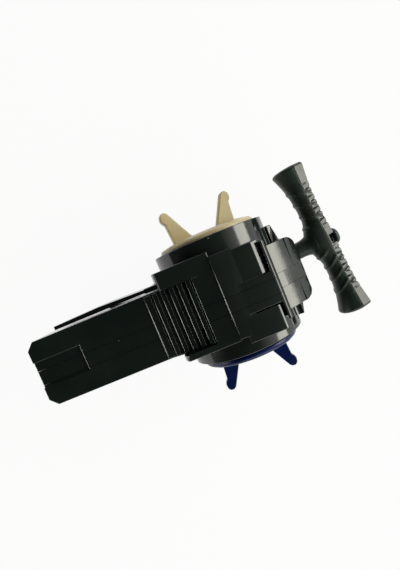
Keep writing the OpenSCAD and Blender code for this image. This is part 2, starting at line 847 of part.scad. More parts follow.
module pull_string() {
    bend = [string_bend_x, 0];
    color(cord_colour) lay_down() union() {
        string_run(string_start, bend, 0, bend_lap);
        string_run(bend, [knot_x - knot_r, 0], bend_lap, 0);
    }
}

module string_knot() {
    color(cord_colour) lay_down() translate([knot_x, 0, string_z]) difference() {
        sphere(knot_r);
        rotate([0, -90, 0]) translate([0, 0, knot_r * 0.9]) cylinder(r = string_r + press_gap, h = knot_r);
    }
}

// Handle's own frame: x away from the drum, z along the handle, the origin on its middle line
module at_handle() {
    lay_down() translate([neck_tip_x, 0, string_z]) rotate([0, -handle_lean, 0])
        translate([neck_len, 0, 0]) children();
}

function flare_at(z) = pow(max(0, (abs(z) - flare_start) / (handle_half - flare_start)), 2.2);
function bulge_at(z) = abs(z) < bulge_half ? (1 + cos(180 * z / bulge_half)) / 2 : 0;
function ridge_zone(z) = abs(z) > ridge_from && abs(z) < ridge_to ? 1 : 0;
function ridge_at(z, a) = ridge_tall * ridge_zone(z)
    * cos(360 * (z - sign(z) * ridge_from - ridge_slant * cos(a)) / ridge_pitch);
function reach_in(z) = waist_in + parting + flare * flare_at(z) + bulge * bulge_at(z);
function reach_out(z) = waist_out - parting + flare * 0.35 * flare_at(z);
// Outer half's section: a flat face between two slopes, as shares of its reach and of its depth
function back_reach(a) = abs(a) <= 45 ? 1 : (90 - abs(a)) / 45;
function back_deep(a) = abs(a) <= 45 ? face_share * a / 45
    : sign(a) * (face_share + (1 - face_share) * (abs(a) - 45) / 45);
function deep_at(z) = waist_deep + flare * 0.6 * flare_at(z) + bulge * 0.3 * bulge_at(z);

// One half ring of the handle at height z, drawn from the parting plane round to it again
function handle_ring(side, z, shrink) = [for (j = [0:handle_sides])
    let(a = 180 * j / handle_sides - 90,
        reach = side < 0 ? reach_in(z) + ridge_at(z, a) : reach_out(z),
        deep = deep_at(z) + (side < 0 ? ridge_at(z, a) : 0))
    side < 0 ? [parting - reach * shrink * pow(cos(a), 0.8), deep * shrink * sin(a), z]
             : [parting + reach * shrink * back_reach(a), deep * shrink * back_deep(a), z]];

// A smaller half ring in the rounding at one end, given as [distance from the end, share of the size]
function end_ring(side, end, step) = [for (p = handle_ring(side, end * (handle_half - end_round), step[1]))
    [p[0], p[1], end * (handle_half - step[0])]];

// Closed solid through the half rings, one ring after the other along the handle
module handle_half_solid(side) {
    body = [for (i = [0:handle_steps])
        handle_ring(side, -handle_half + end_round + (handle_len - 2 * end_round) * i / handle_steps, 1)];
    foot_rings = [for (i = [2, 1]) end_ring(side, -1, end_steps[i])];
    head_rings = [for (i = [1, 2]) end_ring(side, 1, end_steps[i])];
    rings = concat(foot_rings, body, head_rings);
    n = handle_sides + 1;
    last = len(rings) - 1;
    skin = [for (i = [0:last - 1], j = [0:n - 1]) let(k = (j + 1) % n)
        each [[i * n + j, i * n + k, (i + 1) * n + k], [i * n + j, (i + 1) * n + k, (i + 1) * n + j]]];
    middles = [for (end = [-1, 1]) [parting + side * end_middle, 0, end * handle_half]];
    foot = [for (j = [0:n - 1]) [len(rings) * n, (j + 1) % n, j]];
    head = [for (j = [0:n - 1]) [len(rings) * n + 1, last * n + j, last * n + (j + 1) % n]];
    faces = concat(skin, foot, head);
    polyhedron(points = concat([for (r = rings) each r], middles),
               faces = side > 0 ? [for (f = faces) [f[2], f[1], f[0]]] : faces, convexity = 6);
}

// Round bar along the handle frame's x axis
module handle_bar(r1, r2, start, end) {
    translate([start, 0, 0]) rotate([0, 90, 0]) cylinder(r1 = r1, r2 = r2, h = end - start);
}

module handle_grip() {
    color(handle_colour) at_handle() difference() {
        union() {
            handle_half_solid(-1);
            handle_bar(neck_r, neck_root_r, -neck_len, neck_root);
            handle_bar(neck_root_r, neck_root_r, neck_root, 0);
        }
        handle_bar(neck_bore, neck_bore, -neck_len - over, parting);
        handle_bar(knot_room_r, knot_room_r, knot_room_low, parting + over);
    }
}

module handle_back() {
    color(handle_colour) at_handle() difference() {
        handle_half_solid(1);
        translate([0, 0, -plug_drop]) {
            handle_bar(plug_stem_r + press_gap, plug_stem_r + press_gap, parting - over, waist_out + over);
            translate([parting + plug_web, -2 * waist_deep, -plug_stem_r - press_gap])
                cube([waist_out, 4 * waist_deep, 2 * (plug_stem_r + press_gap)]);
        }
    }
}

// Round plug that closes the knot's room, with a domed head
module handle_plug() {
    color(handle_colour) at_handle() translate([0, 0, -plug_drop]) union() {
        handle_bar(plug_stem_r, plug_stem_r, parting, waist_out + plug_stem);
        handle_bar(plug_stem_r, plug_r, waist_out + plug_stem, waist_out + plug_stem + 0.6);
        handle_bar(plug_r, plug_r, waist_out + plug_stem + 0.6, waist_out + plug_reach - 1.5);
        handle_bar(plug_r, plug_r - 1.7, waist_out + plug_reach - 1.5, waist_out + plug_reach);
    }
}

upper_shell();
middle_frame();
lower_shell();
case_screws();
string_eyelet();
release_lever();
lever_pin();
lever_spring();
spring_cup();
mainspring();
spring_cover();
upper_bush();
lower_bush();
axle();
spool();
string_winding();
upper_pawl_carrier();
lower_pawl_carrier();
upper_pawl_a();
upper_pawl_b();
lower_pawl_a();
lower_pawl_b();
upper_hub();
lower_hub();
upper_hub_screw();
lower_hub_screw();
pull_string();
string_knot();
handle_grip();
handle_back();
handle_plug();
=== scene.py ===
"""Dresses the two-way launcher for spinning tops: rounded case mouldings, hubs, lever, a ridged pull
handle and its string, the finish of every piece, and the stage that shows it."""

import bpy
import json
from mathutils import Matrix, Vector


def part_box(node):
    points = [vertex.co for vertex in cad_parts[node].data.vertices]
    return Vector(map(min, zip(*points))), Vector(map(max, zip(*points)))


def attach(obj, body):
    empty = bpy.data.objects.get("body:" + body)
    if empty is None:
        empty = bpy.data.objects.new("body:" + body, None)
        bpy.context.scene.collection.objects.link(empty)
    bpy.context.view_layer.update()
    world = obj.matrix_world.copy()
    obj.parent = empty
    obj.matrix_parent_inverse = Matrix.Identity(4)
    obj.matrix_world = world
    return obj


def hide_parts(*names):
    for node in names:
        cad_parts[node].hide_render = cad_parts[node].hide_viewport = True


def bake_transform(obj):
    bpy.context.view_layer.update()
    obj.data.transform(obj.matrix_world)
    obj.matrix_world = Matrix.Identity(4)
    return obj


bl_info = {
    "name": "Spinning Top Launcher",
    "version": (1, 0, 0),
    "blender": (4, 5, 0),
    "location": "View3D > Sidebar > Launcher",
    "description": "Makes the visible pieces of a two-way launcher for spinning tops, and its stage",
    "category": "Object",
}

import json
import math

import bmesh
import bpy
from bpy.props import FloatProperty, FloatVectorProperty, IntProperty, PointerProperty
from mathutils import Euler, Matrix, Vector

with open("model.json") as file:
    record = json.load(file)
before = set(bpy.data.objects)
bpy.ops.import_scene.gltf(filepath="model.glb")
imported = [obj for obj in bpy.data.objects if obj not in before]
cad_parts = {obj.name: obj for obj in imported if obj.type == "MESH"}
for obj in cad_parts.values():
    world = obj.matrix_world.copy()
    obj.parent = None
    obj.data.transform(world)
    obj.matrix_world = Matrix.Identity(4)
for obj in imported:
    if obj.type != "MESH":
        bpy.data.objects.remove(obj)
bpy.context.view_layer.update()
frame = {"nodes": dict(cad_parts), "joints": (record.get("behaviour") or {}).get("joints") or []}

MM = 0.001
QUARTER = math.pi / 2

# Points nearer to each other than this, in metres, are one point
MERGE = 2e-6

# Angles between two faces: one flat face up to the first, a rounded edge from the second,
# and an edge that stays sharp in the shading from the third
FLAT = math.radians(0.6)
CREASE = math.radians(24)
SHARP = math.radians(42)

# Facets of the round shapes
HANDLE_SIDES = 72
HANDLE_RINGS = 239
LATHE_STEPS = 56
STRING_SIDES = 16
HIDDEN_STRING_RINGS = 8
PULLED_STRING_RINGS = 48
SMALL_EDGE_STEPS = 2

# A point of a rod of radius 1 that is this near to the handle's seam lies on it, turned by a hair
# towards its own half
SEAM_NEAR = 1e-4
SEAM_TURN = 1e-6

# Height of the spin axis, and the string's level along that axis, in millimetres
AXIS_HEIGHT = 27.3
STRING_LEVEL = 7.2

# Facets of the case in millimetres: place along the pull, range along the spin axis, range of the
# distance from the axis height, and how far the new edge moves out
CASE_FACETS = {
    "outlet_side": (24.0, (-12.8, 15.8), (12.8, 13.3), 0.29),
    "outlet_bend": (29.5, (-12.8, 15.8), (9.4, 9.8), -0.6),
    "shoulder_front": (24.8, (15.65, 23.2), (7.7, 8.2), 1.24),
    "shoulder_side": (26.6, (15.65, 23.2), (6.4, 6.9), 1.4),
    "upper_plate_start": (14.2, (6.3, 19.8), (25.3, 25.6), 0),
    "upper_plate_end": (15.1, (6.3, 19.8), (25.2, 25.5), -0.6),
    "lower_plate_end": (16.0, (-17.1, -6.8), (25.3, 25.6), 0.2),
}

# Outlines in millimetres along the pull and over the radius: the neck from its tip, the plug's skirt
# from the outer face, and the plug's crown from the top of its head
NECK_SKIN = ((0, -0.5), (0.15, -0.15), (0.5, 0), (3, 0.05), (4.4, 0.25), (5.6, 0.6), (6.6, 1.1),
             (7.5, 1.8), (8.2, 2.5))
PLUG_SKIRT = ((0.5, -0.5), (0.75, -0.12), (1.1, 0), (1.6, -0.08))
PLUG_CROWN = ((-0.9, -0.55), (-0.4, -1.2), (-0.1, -2.2))

# Small fittings with their bodies and material slots
FITTINGS = {
    "case_screws": ("casing", "steel"),
    "lever_pin": ("casing", "steel"),
    "upper_hub_screw": ("upper_hub", "steel"),
    "lower_hub_screw": ("lower_hub", "steel"),
    "string_eyelet": ("casing", "acetal"),
}

# Stretch of the noise's values that is spread out, and the sockets of a mixer of two colours
NOISE_LOW, NOISE_HIGH = 0.32, 0.68
MIX_INPUTS = (0, 6, 7)
MIX_RESULT = 2


# Settings

def number(name, description, default):
    """A plain number."""
    return FloatProperty(name=name, description=description, default=default)


def length(name, description, default):
    """A length in metres, given in millimetres."""
    return FloatProperty(name=name, description=description, default=default * MM, precision=5,
                         subtype="DISTANCE", unit="LENGTH")


def power(name, description, default):
    """A lamp's power in watts."""
    return FloatProperty(name=name, description=description, default=default, unit="POWER")


def pair(name, description, default, unit="NONE"):
    """Two numbers, or two lengths in metres."""
    return FloatVectorProperty(name=name, description=description, default=default, size=2, unit=unit)


def point(name, description, default):
    """A place in the part's frame in metres, given in millimetres."""
    return FloatVectorProperty(name=name, description=description, subtype="TRANSLATION",
                               default=[value * MM for value in default])


def colour(name, description, default):
    """A colour without its alpha."""
    return FloatVectorProperty(name=name, description=description, default=default, size=3,
                               min=0, max=1, subtype="COLOR")


class LauncherEdges(bpy.types.PropertyGroup):
    case: length("Case edge", "Rounding along the case mouldings' edges", 0.29)
    hub: length("Hub edge", "Rounding along the hubs' prongs and rims", 0.45)
    lever: length("Lever edge", "Rounding along the release lever's edges", 0.22)
    fitting: length("Fitting edge", "Rounding along screws, pin and eyelet", 0.1)
    seam_level: length("Seam level", "Middle plane to the seams between the case layers", 3.2)
    seam_gap: length("Seam gap", "Open seam between two case layers", 0.13)
    steps: IntProperty(name="Steps", description="Facets across each rounding", default=3, min=1, max=6)


class HandleShape(bpy.types.PropertyGroup):
    long: length("Length", "Handle from end to end", 69.4)
    lean: FloatProperty(name="Lean", description="Turn of the handle on its neck at rest",
                        default=math.radians(5.4), subtype="ANGLE", unit="ROTATION")
    neck_long: length("Neck length", "Neck's tip to the handle's middle line", 12.1)
    neck_radius: length("Neck radius", "Neck at its tip", 3.7)
    bore_radius: length("Bore radius", "String's hole in the neck", 1.1)
    bore_deep: length("Bore depth", "Depth of the string's hole", 8.0)
    bore_lead: length("Bore lead-in", "Chamfer at the mouth of the string's hole", 0.3)
    parting: length("Parting", "Middle line to the seam between the two halves", 1.4)
    waist_in: length("Inner waist", "Middle line to the inner face at the waist", 3.6)
    waist_out: length("Outer waist", "Middle line to the outer face at the waist", 4.8)
    waist_deep: length("Half depth", "Half the handle's depth at the waist", 6.0)
    flare: length("Flare", "Growth towards the ends", 3.9)
    flare_start: length("Flare start", "Where the flare begins, from the middle", 14.0)
    flare_curve: number("Flare curve", "Power by which the flare grows", 2.2)
    flare_deep: number("Flare in depth", "Share of the flare that the half depth takes", 0.6)
    flare_out: number("Outer flare", "Share of the flare that the outer face takes", 0.35)
    bulge: length("Bulge", "Growth of the inner face at the neck", 3.4)
    bulge_half: length("Bulge half length", "How far the bulge runs each way", 12.0)
    bulge_deep: number("Bulge in depth", "Share of the bulge that the half depth takes", 0.3)
    inner_curve: number("Inner curve", "Power of the inner half's round section", 0.8)
    face_share: number("Outer face", "Share of the half depth that is flat on the outer half", 0.74)
    end_round: length("End rounding", "Length of the rounding at each end", 1.9)
    end_shrink: number("End shrink", "Share of the section that the end rounding takes", 0.42)
    grip_start: length("Grip start", "Where ridges and grooves begin, from the middle", 3.5)
    grip_stop: length("Grip stop", "Where ridges and grooves stop, from the ends", 8.0)
    grip_fade: length("Grip fade", "Length over which ridges and grooves fade", 3.0)
    ridge_tall: length("Ridge height", "Finger ridges over the inner half", 0.5)
    ridge_pitch: length("Ridge pitch", "From one finger ridge to the next", 5.6)
    ridge_first: length("First ridge", "First finger ridge from the middle", 5.2)
    ridge_wide: length("Ridge width", "Half width of a finger ridge", 0.75)
    ridge_slant: number("Ridge slant", "Run of a finger ridge along the handle for its reach", 0.8)
    groove_deep: length("Groove depth", "Grip grooves in the outer half", 0.75)
    groove_wide: length("Groove width", "Half width of a grip groove", 0.42)
    groove_pitch: length("Groove pitch", "From one grip groove to the next", 2.8)
    groove_slants: pair("Groove slants", "Run of a grip groove along the handle, by turns", (0.9, -0.5))
    groove_bite: pair("Groove bite", "Shares of the depth that go inwards and sideways", (0.8, 0.6))
    groove_fade: length("Groove fade", "Height over the seam at which a groove is whole", 0.5)
    seam_edge: length("Seam edge", "Rounding along the seam of the halves", 0.28)
    plug_radius: length("Plug radius", "Round plug's head", 3.7)
    plug_stem: length("Plug stem", "Round plug's stem, and half the gap that it stands in", 2.0)
    plug_foot: length("Plug foot", "Foot of the plug's stem over the seam of the halves", 0.5)
    plug_lift: length("Plug lift", "Outer face to the underside of the plug's head", 0.35)
    plug_reach: length("Plug reach", "Plug's head over the outer face", 3.2)
    plug_drop: length("Plug drop", "Plug's middle below the handle's middle", 1.3)
    plug_web: length("Plug web", "Outer half left under the plug's gap", 0.9)


class StringShape(bpy.types.PropertyGroup):
    radius: length("Radius", "Half the string's thickness", 0.7)
    leaves: point("Leaves winding", "Where the string leaves the winding", (4.61, STRING_LEVEL, 37.83))
    bends: point("Bends", "Where the string turns into the outlet", (28.7, STRING_LEVEL, AXIS_HEIGHT))
    ties: point("Ties", "Where the string meets the handle's knot", (40.7, STRING_LEVEL, AXIS_HEIGHT))


class LauncherColours(bpy.types.PropertyGroup):
    case: colour("Case", "Glossy black of the case", (0.0042, 0.0082, 0.0068))
    case_pale: colour("Case, rubbed", "Black where hands have rubbed it", (0.0082, 0.0128, 0.0108))
    handle: colour("Handle", "Satin black of the handle", (0.0130, 0.0222, 0.0168))
    handle_pale: colour("Handle, rubbed", "Handle where hands have rubbed it", (0.0230, 0.0330, 0.0268))
    dust: colour("Dust", "Specks on the dark plastic", (0.20, 0.20, 0.18))
    ivory: colour("Ivory", "Upper hub", (0.53, 0.43, 0.23))
    ivory_pale: colour("Ivory, pale", "Upper hub's paler flow marks", (0.62, 0.52, 0.305))
    blue: colour("Blue", "Lower hub", (0.0003, 0.0046, 0.046))
    blue_pale: colour("Blue, pale", "Lower hub's paler flow marks", (0.0006, 0.0085, 0.080))
    steel: colour("Steel", "Zinc-plated screws, pin, axle and springs", (0.56, 0.57, 0.58))
    steel_dull: colour("Steel, dull", "Darker patches of the plating", (0.40, 0.41, 0.41))
    acetal: colour("Acetal", "Natural acetal of spool, pawls and eyelet", (0.70, 0.68, 0.62))
    acetal_dull: colour("Acetal, dull", "Acetal where it runs", (0.58, 0.56, 0.50))
    bronze: colour("Bronze", "Sintered bearing bushes", (0.52, 0.31, 0.13))
    bronze_dull: colour("Bronze, dull", "Oiled pores of the bushes", (0.33, 0.19, 0.08))
    cord: colour("String", "Braided string", (0.72, 0.70, 0.64))
    # Painted shade: this darker colour stands in for shade in the hollows between the string's strands
    cord_painted_shade: colour("String, painted shade", "Shade between the string's strands", (0.40, 0.385, 0.34))


class StageSettings(bpy.types.PropertyGroup):
    camera_place: point("Camera", "Camera's place in the part's frame", (-4.13, 21.76, 207.45))
    camera_turn: FloatVectorProperty(
        name="Camera turn", description="Camera's rotation", subtype="EULER",
        default=[math.radians(turn) for turn in (-4.274, 0.546, -22.449)])
    camera_near: length("Camera's near end", "Nearest distance that the camera shows", 10)
    sensor: number("Sensor", "Height of the camera's sensor, in millimetres", 36)
    lens: number("Lens", "Camera's focal length, in millimetres", 25.275)
    window_place: point("Window", "Large soft light on the right", (560, 30, 257))
    window_size: pair("Window size", "Width and height of the window light", (0.60, 0.275), "LENGTH")
    window_power: power("Window power", "Power of the window light", 3.3)
    edge_place: point("Edge light", "Low soft light on the left", (-560, -72, 140))
    edge_size: pair("Edge size", "Width and height of the edge light", (0.09, 0.28), "LENGTH")
    edge_power: power("Edge power", "Power of the edge light", 0.8)
    fill_place: point("Fill light", "Soft light at the foot", (80, -520, 340))
    fill_size: pair("Fill size", "Width and height of the fill light", (0.60, 0.30), "LENGTH")
    fill_power: power("Fill power", "Power of the fill light", 0.9)
    light_colour: colour("Light colour", "Daylight of the soft lights", (1.0, 0.985, 0.88))
    light_aim: point("Light aim", "Place that the soft lights face", (0, 10, 25))
    floor: colour("Floor", "Pale floor", (0.86, 0.86, 0.86))
    floor_marks: colour("Floor marks", "Faint clouds on the floor", (0.8, 0.8, 0.8))
    floor_half: length("Floor half", "Half the floor's width", 4000)
    floor_drop: length("Floor drop", "Floor below the part", 0.1)
    floor_shown: FloatProperty(name="Floor glow", description="Share of the floor's plain pale look",
                               default=0.93, subtype="FACTOR", min=0, max=1)
    room_dim: colour("Room, dim", "Darkest part of the room", (0.02, 0.022, 0.021))
    room_between: colour("Room, between", "Walls next to the darkest part", (0.11, 0.114, 0.11))
    room_pale: colour("Room, pale", "Pale walls round the object", (0.95, 0.94, 0.89))
    room_stops: FloatVectorProperty(
        name="Room stops", description="Where the three shades lie, from the pale to the dim one",
        default=(0.1, 0.5, 0.95))
    dim_side: FloatVectorProperty(name="Dim side", description="Direction of the room's darkest part",
                                   default=(-0.55, 0.28, 0.80), subtype="DIRECTION")


# Finishes

class Finish:
    """A new node material, with short ways to add and link its nodes."""

    def __init__(self, name):
        self.material = bpy.data.materials.new(name)
        self.material.use_nodes = True
        self.tree = self.material.node_tree
        self.shader = self.tree.nodes["Principled BSDF"]
        self.place = self.add("ShaderNodeTexCoord").outputs["Object"]

    def add(self, kind, inputs=(), **settings):
        """A new node, its inputs linked to a socket or set to a value."""
        node = self.tree.nodes.new(kind)
        for key, value in settings.items():
            setattr(node, key, value)
        for key, value in dict(inputs).items():
            if isinstance(value, bpy.types.NodeSocket):
                self.tree.links.new(value, node.inputs[key])
            else:
                node.inputs[key].default_value = value
        return node

    def link(self, output, socket):
        """Gives one of the shader's inputs a pattern."""
        self.tree.links.new(output, self.shader.inputs[socket])

    def plain(self, socket, value):
        """Gives one of the shader's inputs the same value all over."""
        self.shader.inputs[socket].default_value = value

    def stretched(self, scale=(1, 1, 1), turn=(0, 0, 0)):
        """Object coordinates, stretched and turned."""
        inputs = {"Vector": self.place, "Scale": scale, "Rotation": turn}
        return self.add("ShaderNodeMapping", inputs).outputs[0]

    def cloud(self, scale, low=0.0, high=1.0, detail=3, place=None):
        """Soft noise, spread between two values."""
        inputs = {"Vector": place or self.place, "Scale": scale, "Detail": detail}
        noise = self.add("ShaderNodeTexNoise", inputs).outputs["Fac"]
        spread = {"Value": noise, "From Min": NOISE_LOW, "From Max": NOISE_HIGH, "To Min": low,
                  "To Max": high}
        return self.add("ShaderNodeMapRange", spread).outputs[0]

    def mix(self, share, first, second):
        """Colour from the first to the second by a share; each is a colour or a socket."""
        shades = [shade if isinstance(shade, bpy.types.NodeSocket) else (*shade, 1)
                  for shade in (first, second)]
        inputs = zip(MIX_INPUTS, (share, *shades))
        return self.add("ShaderNodeMix", inputs, data_type="RGBA").outputs[MIX_RESULT]

    def maths(self, operation, first, second):
        """Two values put together by an operation."""
        return self.add("ShaderNodeMath", {0: first, 1: second}, operation=operation).outputs[0]

    def specks(self, scale, size, rarity):
        """1 on small round specks, one in some of the cells, and 0 elsewhere."""
        cells = self.add("ShaderNodeTexVoronoi", {"Vector": self.place, "Scale": scale})
        near = self.maths("LESS_THAN", cells.outputs["Distance"], size)
        chosen = self.add("ShaderNodeSeparateColor", {0: cells.outputs["Color"]}).outputs[0]
        return self.maths("MULTIPLY", near, self.maths("GREATER_THAN", chosen, rarity))

    def bump(self, height, strength, depth):
        """Fine relief of the surface."""
        node = self.add("ShaderNodeBump", {"Height": height, "Strength": strength, "Distance": depth})
        self.link(node.outputs[0], "Normal")


def gloss_case(name, colours, rough, dust_rough, index):
    """Black glossy moulding with rubbed patches, hairline scratches and dust."""
    finish = Finish(name)
    body = finish.mix(finish.cloud(scale=55), colours.case, colours.case_pale)
    dust = finish.specks(scale=260, size=0.055, rarity=0.9)
    finish.link(finish.mix(dust, body, colours.dust), "Base Color")
    scratches = finish.stretched(scale=(90, 2600, 2600), turn=(0.3, 0.2, 0.5))
    hairlines = finish.cloud(scale=1, high=0.05, detail=1, place=scratches)
    patches = finish.maths("ADD", finish.cloud(130, *rough, detail=4), hairlines)
    dusty = finish.maths("MULTIPLY", dust, dust_rough)
    finish.link(finish.maths("ADD", patches, dusty), "Roughness")
    finish.bump(finish.cloud(scale=420, detail=2), strength=0.05, depth=0.05 * MM)
    finish.plain("IOR", index)


def satin_handle(name, colours, rough, index):
    """Dark satin moulding with a fine even grain and rubbed patches."""
    finish = Finish(name)
    body = finish.mix(finish.cloud(scale=80), colours.handle, colours.handle_pale)
    dust = finish.specks(scale=330, size=0.06, rarity=0.93)
    finish.link(finish.mix(dust, body, colours.dust), "Base Color")
    finish.link(finish.cloud(210, *rough, detail=4), "Roughness")
    finish.bump(finish.cloud(scale=3800, detail=2), strength=0.12, depth=0.05 * MM)
    finish.plain("IOR", index)


def moulded_nylon(name, colours, plain, flow, rough, glow, index):
    """Coloured moulding with faint flow marks and a soft gloss."""
    finish = Finish(name)
    marks = finish.cloud(scale=1, place=finish.stretched(scale=(70, 22, 70)))
    finish.link(finish.mix(marks, getattr(colours, plain), getattr(colours, flow)), "Base Color")
    finish.link(finish.cloud(160, *rough, detail=4), "Roughness")
    finish.bump(finish.cloud(scale=900, detail=2), strength=0.06, depth=0.05 * MM)
    finish.plain("IOR", index)
    finish.plain("Subsurface Weight", glow)
    finish.plain("Subsurface Radius", (1.0, 0.8, 0.5))
    finish.plain("Subsurface Scale", 1.2 * MM)


def worn_metal(name, colours, bright, dull, rough, grain):
    """Metal with patches and a fine grain."""
    finish = Finish(name)
    patches = finish.cloud(scale=340, detail=4)
    finish.link(finish.mix(patches, getattr(colours, bright), getattr(colours, dull)), "Base Color")
    finish.link(finish.cloud(600, *rough, detail=4), "Roughness")
    fine = finish.cloud(scale=1, detail=2, place=finish.stretched(scale=grain))
    finish.bump(fine, strength=0.08, depth=0.03 * MM)
    finish.plain("Metallic", 1.0)


def braided_string(name, colours, slant, rough):
    """Pale string with crossing strands, and painted shade in the hollows between them."""
    finish = Finish(name)
    strands = []
    for turn in (slant, -slant):
        inputs = {"Vector": finish.stretched(turn=(turn, turn, turn)), "Scale": 420.0, "Distortion": 1.5}
        strands.append(finish.add("ShaderNodeTexWave", inputs).outputs["Fac"])
    braid = finish.maths("MAXIMUM", *strands)
    # Painted shade: the braid's low places between the strands get the darker colour
    finish.link(finish.mix(braid, colours.cord_painted_shade, colours.cord), "Base Color")
    finish.link(finish.cloud(900, *rough), "Roughness")
    finish.bump(braid, strength=0.6, depth=0.08 * MM)


# Each material slot's finish, and the outer grip's own: its name, how it is made, and its values
FINISHES = {
    "case_plastic": ("gloss_case", gloss_case, {
        "rough": (0.07, 0.13), "dust_rough": 0.4, "index": 1.62}),
    "handle_plastic": ("satin_handle", satin_handle, {"rough": (0.34, 0.46), "index": 1.36}),
    "handle_face": ("polished_handle", satin_handle, {"rough": (0.2, 0.3), "index": 1.46}),
    "ivory_plastic": ("ivory_nylon", moulded_nylon, {
        "plain": "ivory", "flow": "ivory_pale", "rough": (0.30, 0.41), "glow": 0.12, "index": 1.5}),
    "blue_plastic": ("blue_nylon", moulded_nylon, {
        "plain": "blue", "flow": "blue_pale", "rough": (0.20, 0.31), "glow": 0.0, "index": 1.36}),
    "acetal": ("natural_acetal", moulded_nylon, {
        "plain": "acetal_dull", "flow": "acetal", "rough": (0.34, 0.45), "glow": 0.1, "index": 1.5}),
    "steel": ("plated_steel", worn_metal, {
        "bright": "steel", "dull": "steel_dull", "rough": (0.22, 0.4), "grain": (500, 4000, 500)}),
    "bronze": ("sintered_bronze", worn_metal, {
        "bright": "bronze", "dull": "bronze_dull", "rough": (0.4, 0.6), "grain": (2500, 2500, 2500)}),
    "cord": ("braided_string", braided_string, {"slant": 0.7, "rough": (0.7, 0.9)}),
}


def finish_of(slot):
    """The slot's finish, made the first time it is asked for."""
    name, maker, values = FINISHES[slot]
    if name not in bpy.data.materials:
        maker(name, bpy.context.scene.launcher_colours, **values)
    return bpy.data.materials[name]


# Meshes

def finished_piece(name, bm, node, body, slot, look=None):
    """Turns a bmesh into a piece that stands for a CAD node, rides on its body and has its slot's finish
    or another look. A piece that is blended between two bodies rides on none."""
    for face in bm.faces:
        face.smooth = True
    for edge in bm.edges:
        edge.smooth = not (edge.is_manifold and edge.calc_face_angle() > SHARP)
    mesh = bpy.data.meshes.new(name)
    bm.to_mesh(mesh)
    bm.free()
    mesh.materials.append(finish_of(look or slot))
    piece = bpy.data.objects.new(name, mesh)
    bpy.context.scene.collection.objects.link(piece)
    shading = piece.modifiers.new("even_shading", "WEIGHTED_NORMAL")
    shading.keep_sharp = True
    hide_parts(node)
    if body:
        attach(piece, body)
    return piece


def everything(bm):
    """All of a bmesh's points, edges and faces."""
    return bm.verts[:] + bm.edges[:] + bm.faces[:]


def round_edges(bm, edges, width, steps):
    """Rounds some of a bmesh's edges."""
    bmesh.ops.bevel(bm, geom=edges, offset=width, offset_type="OFFSET", segments=steps, profile=0.5,
                    affect="EDGES", material=-1, clamp_overlap=False)


def crease_case(bm):
    """Breaks flat faces of the case at places along the pull, and moves the new edges out or in."""
    for along, (low, high), (inner, outer), push in CASE_FACETS.values():
        bmesh.ops.bisect_plane(bm, geom=everything(bm), dist=MERGE, plane_co=(along * MM, 0, 0),
                               plane_no=(1, 0, 0))
        for vert in bm.verts:
            x, y, z = (value / MM for value in vert.co)
            aside = z - AXIS_HEIGHT
            if abs(x - along) * MM < MERGE and low < y < high and inner < abs(aside) < outer:
                vert.co.z += push * MM * math.copysign(1, aside)


def rounded_moulding(node, edge, steps, seam_level=None, seam_gap=0):
    """Copy of a CAD node with its hard edges rounded, but for those along the case's open seams and
    those of faces too narrow for it. It stays inside the node's box."""
    bm = bmesh.new()
    bm.from_mesh(frame["nodes"][node].data)
    bmesh.ops.remove_doubles(bm, verts=bm.verts, dist=MERGE)
    if seam_level:
        crease_case(bm)
    bmesh.ops.dissolve_limit(bm, angle_limit=FLAT, verts=bm.verts, edges=bm.edges)
    seam = {v for v in bm.verts if seam_level and abs(abs(v.co.y) - seam_level) < MERGE}
    thin = {f for f in bm.faces if f.calc_area() < edge * max(e.calc_length() for e in f.edges)}
    hard = [e for e in bm.edges if e.is_manifold and e.calc_face_angle() > CREASE
            and not (seam.issuperset(e.verts) and abs(e.verts[0].co.y - e.verts[1].co.y) < MERGE)
            and thin.isdisjoint(e.link_faces)]
    for vert in seam:
        vert.co.y -= math.copysign(seam_gap, vert.co.y)
    round_edges(bm, hard, edge, steps)
    low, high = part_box(node)
    for vert in bm.verts:
        vert.co = [min(max(value, least), most) for value, least, most in zip(vert.co, low, high)]
    return bm


def lathe(profile, matrix):
    """Closed round solid from (x, radius) points, turned about the x axis and put in place."""
    bm = bmesh.new()
    points = [bm.verts.new((x, radius, 0)) for x, radius in profile]
    rim = [bm.edges.new(ends) for ends in zip(points, points[1:])]
    bmesh.ops.spin(bm, geom=points + rim, cent=(0, 0, 0), axis=(1, 0, 0), angle=math.tau,
                   steps=LATHE_STEPS, use_merge=True, use_duplicate=False)
    bmesh.ops.remove_doubles(bm, verts=bm.verts, dist=MERGE)
    bmesh.ops.recalc_face_normals(bm, faces=bm.faces)
    bmesh.ops.transform(bm, matrix=matrix, verts=bm.verts)
    return bm


def ringed_rod(sides, radius, long, rings):
    """Closed round rod along the z axis, with rings cut round it."""
    bm = bmesh.new()
    bmesh.ops.create_cone(bm, cap_ends=True, cap_tris=False, segments=sides, radius1=radius,
                          radius2=radius, depth=long)
    long_edges = [e for e in bm.edges if abs(e.verts[0].co.z - e.verts[1].co.z) > long / 2]
    bmesh.ops.subdivide_edges(bm, edges=long_edges, cuts=rings, use_grid_fill=True)
    return bm


def join_in(bm, other):
    """Adds another bmesh's faces to this one."""
    carrier = bpy.data.meshes.new("carrier")
    other.to_mesh(carrier)
    other.free()
    bm.from_mesh(carrier)
    bpy.data.meshes.remove(carrier)


def handle_matrix(shape):
    """Handle's frame: x away from the drum, y along the handle, the origin on its middle line."""
    swivel = next(j for j in frame["joints"] if j["name"] == "handle_swivel")
    return (Matrix.Translation(swivel["pos_m"]) @ Matrix.Rotation(shape.lean, 4, "Z")
            @ Matrix.Translation((shape.neck_long, 0, 0)))


def raised(distance, half_width):
    """Height from 0 to 1 of a soft bar at a distance from its middle."""
    return math.exp(-(distance / half_width) ** 2)


def off_line(along, first, pitch):
    """Distance to the nearest of the evenly spaced lines."""
    return abs((along - first + pitch / 2) % pitch - pitch / 2)


